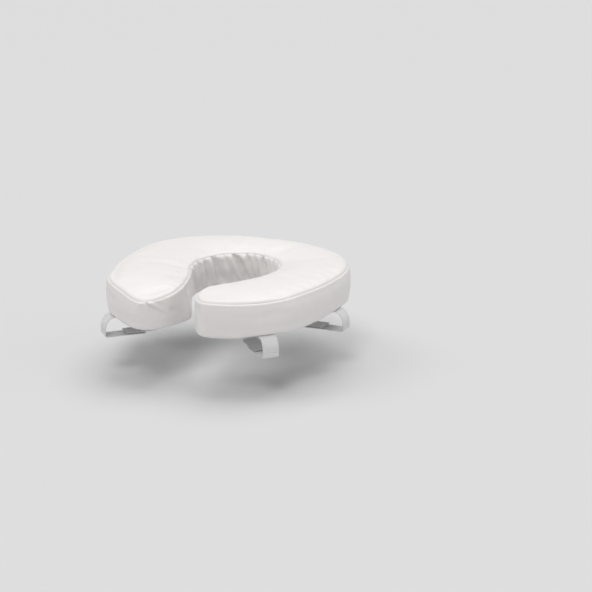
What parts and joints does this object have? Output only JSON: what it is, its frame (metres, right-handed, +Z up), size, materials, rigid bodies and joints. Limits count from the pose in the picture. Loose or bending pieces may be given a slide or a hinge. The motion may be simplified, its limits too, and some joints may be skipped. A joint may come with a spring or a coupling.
{
  "type": "raised toilet seat",
  "caption": "Padded horseshoe toilet seat riser: foam on a plywood base in a sewn vinyl cover, with hook-and-loop straps that hold it to a toilet seat.",
  "frame": {"origin": "on the underside plane and the centre line, at the centre of the rounded rear half, inside the hole", "axes": "+Z up from the underside to the sitting face, +Y to the rear, +X to the right as seen from the open front"},
  "size_m": [0.3688, 0.3478, 0.0841],
  "materials": {
    "vinyl": "smooth soft vinyl, satin",
    "foam": "open-cell foam",
    "plywood": "raw plywood",
    "thread": "spun polyester",
    "cover_cloth": "non-woven non-slip cloth",
    "staple_steel": "galvanised wire",
    "webbing": "flat woven webbing",
    "hook_tape": "hook tape",
    "loop_tape": "loop tape"
  },
  "bodies": {
    "cushion": {"foam_core": "foam", "base_board": "plywood", "top_panel": "vinyl", "outer_boxing": "vinyl", "inner_boxing": "vinyl", "top_seam_thread": "thread", "tip_seam_threads": "thread", "bottom_cover": "cover_cloth", "cover_staples": "staple_steel", "strap_staples": "staple_steel", "rear_right_outer_tab": "webbing", "rear_right_inner_side": "webbing", "front_right_outer_tab": "webbing", "front_right_inner_side": "webbing", "rear_left_outer_tab": "webbing", "rear_left_inner_side": "webbing", "front_left_outer_tab": "webbing", "front_left_inner_side": "webbing"},
    "rear_right_side_body": {"rear_right_outer_side": "webbing"},
    "rear_right_hook_end": {"rear_right_outer_end": "webbing", "rear_right_hook_patch": "hook_tape"},
    "rear_right_loop_end": {"rear_right_inner_end": "webbing", "rear_right_loop_patch": "loop_tape"},
    "front_right_side_body": {"front_right_outer_side": "webbing"},
    "front_right_hook_end": {"front_right_outer_end": "webbing", "front_right_hook_patch": "hook_tape"},
    "front_right_loop_end": {"front_right_inner_end": "webbing", "front_right_loop_patch": "loop_tape"},
    "rear_left_side_body": {"rear_left_outer_side": "webbing"},
    "rear_left_hook_end": {"rear_left_outer_end": "webbing", "rear_left_hook_patch": "hook_tape"},
    "rear_left_loop_end": {"rear_left_inner_end": "webbing", "rear_left_loop_patch": "loop_tape"},
    "front_left_side_body": {"front_left_outer_side": "webbing"},
    "front_left_hook_end": {"front_left_outer_end": "webbing", "front_left_hook_patch": "hook_tape"},
    "front_left_loop_end": {"front_left_inner_end": "webbing", "front_left_loop_patch": "loop_tape"}
  },
  "joints": [
    {"name": "rear_right_strap_swing", "type": "hinge", "parent": "cushion", "child": "rear_right_side_body", "pos_m": [0.17331, 0.014, 0.00175], "axis": [0, -1, 0], "range_deg": [0, 60]},
    {"name": "rear_right_strap_release", "type": "hinge", "parent": "rear_right_side_body", "child": "rear_right_hook_end", "pos_m": [0.18381, 0.014, -0.0276], "axis": [0, -1, 0], "range_deg": [0, 80]},
    {"name": "rear_right_loop_drop", "type": "hinge", "parent": "cushion", "child": "rear_right_loop_end", "pos_m": [0.10481, 0.014, -0.0245], "axis": [0, 1, 0], "range_deg": [0, 40]},
    {"name": "front_right_strap_swing", "type": "hinge", "parent": "cushion", "child": "front_right_side_body", "pos_m": [0.128, -0.14661, 0.00175], "axis": [-0.6947, -0.7193, 0], "range_deg": [0, 60]},
    {"name": "front_right_strap_release", "type": "hinge", "parent": "front_right_side_body", "child": "front_right_hook_end", "pos_m": [0.13556, -0.1539, -0.0276], "axis": [-0.6947, -0.7193, 0], "range_deg": [0, 80]},
    {"name": "front_right_loop_drop", "type": "hinge", "parent": "cushion", "child": "front_right_loop_end", "pos_m": [0.07873, -0.09903, -0.0245], "axis": [0.6947, 0.7193, 0], "range_deg": [0, 40]},
    {"name": "rear_left_strap_swing", "type": "hinge", "parent": "cushion", "child": "rear_left_side_body", "pos_m": [-0.17331, 0.014, 0.00175], "axis": [0, 1, 0], "range_deg": [0, 60]},
    {"name": "rear_left_strap_release", "type": "hinge", "parent": "rear_left_side_body", "child": "rear_left_hook_end", "pos_m": [-0.18381, 0.014, -0.0276], "axis": [0, 1, 0], "range_deg": [0, 80]},
    {"name": "rear_left_loop_drop", "type": "hinge", "parent": "cushion", "child": "rear_left_loop_end", "pos_m": [-0.10481, 0.014, -0.0245], "axis": [0, -1, 0], "range_deg": [0, 40]},
    {"name": "front_left_strap_swing", "type": "hinge", "parent": "cushion", "child": "front_left_side_body", "pos_m": [-0.128, -0.14661, 0.00175], "axis": [-0.6947, 0.7193, 0], "range_deg": [0, 60]},
    {"name": "front_left_strap_release", "type": "hinge", "parent": "front_left_side_body", "child": "front_left_hook_end", "pos_m": [-0.13556, -0.1539, -0.0276], "axis": [-0.6947, 0.7193, 0], "range_deg": [0, 80]},
    {"name": "front_left_loop_drop", "type": "hinge", "parent": "cushion", "child": "front_left_loop_end", "pos_m": [-0.07873, -0.09903, -0.0245], "axis": [0.6947, -0.7193, 0], "range_deg": [0, 40]}
  ],
  "couplings": [
    {"joint": "rear_right_loop_drop", "follows": "rear_right_strap_release", "ratio": 0.5},
    {"joint": "front_right_loop_drop", "follows": "front_right_strap_release", "ratio": 0.5},
    {"joint": "rear_left_loop_drop", "follows": "rear_left_strap_release", "ratio": 0.5},
    {"joint": "front_left_loop_drop", "follows": "front_left_strap_release", "ratio": 0.5}
  ]
}
